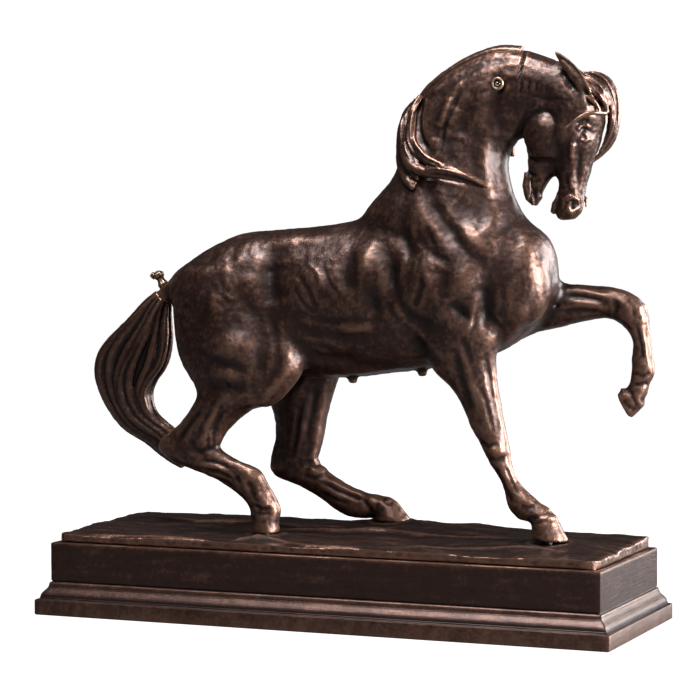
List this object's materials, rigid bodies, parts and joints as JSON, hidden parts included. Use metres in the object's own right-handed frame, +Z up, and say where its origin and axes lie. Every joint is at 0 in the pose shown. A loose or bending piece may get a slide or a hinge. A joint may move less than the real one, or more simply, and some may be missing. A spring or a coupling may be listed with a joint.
{
  "type": "animal statuette",
  "caption": "Cast bronze horse with arched neck and one foreleg lifted, bolted to a modelled ground slab on a moulded hollow plinth.",
  "frame": {"origin": "centre of the plinth's underside", "axes": "+X the way the horse faces, along the plinth; +Y towards the horse's left side; +Z up"},
  "size_m": [0.3001, 0.11, 0.2824],
  "materials": {
    "body_bronze": "dark brown patina, rubbed on the high points",
    "hair_bronze": "dark brown patina, chased strands",
    "base_bronze": "brown patina, fine brushed grain, worn edges",
    "pin_brass": "filed, lightly rubbed",
    "fastener_steel": "dull, slightly rusted"
  },
  "bodies": {
    "root": {"torso": "body_bronze", "head": "body_bronze", "near_foreleg": "body_bronze", "far_foreleg": "body_bronze", "near_hind_leg": "body_bronze", "far_hind_leg": "body_bronze", "mane": "hair_bronze", "mane_lock": "hair_bronze", "forelock": "hair_bronze", "tail": "hair_bronze", "plinth": "base_bronze", "terrace": "base_bronze", "head_pin": "pin_brass", "tail_pin": "pin_brass", "near_foreleg_pin": "pin_brass", "far_foreleg_pin": "pin_brass", "near_hind_leg_pin": "pin_brass", "far_hind_leg_pin": "pin_brass", "belly_plug_front": "pin_brass", "belly_plug_rear": "pin_brass", "near_fore_stud": "fastener_steel", "near_fore_washer": "fastener_steel", "near_fore_nut": "fastener_steel", "near_hind_stud": "fastener_steel", "near_hind_washer": "fastener_steel", "near_hind_nut": "fastener_steel", "far_hind_stud": "fastener_steel", "far_hind_washer": "fastener_steel", "far_hind_nut": "fastener_steel", "left_front_screw": "fastener_steel", "left_back_screw": "fastener_steel", "right_front_screw": "fastener_steel", "right_back_screw": "fastener_steel"}
  },
  "joints": []
}
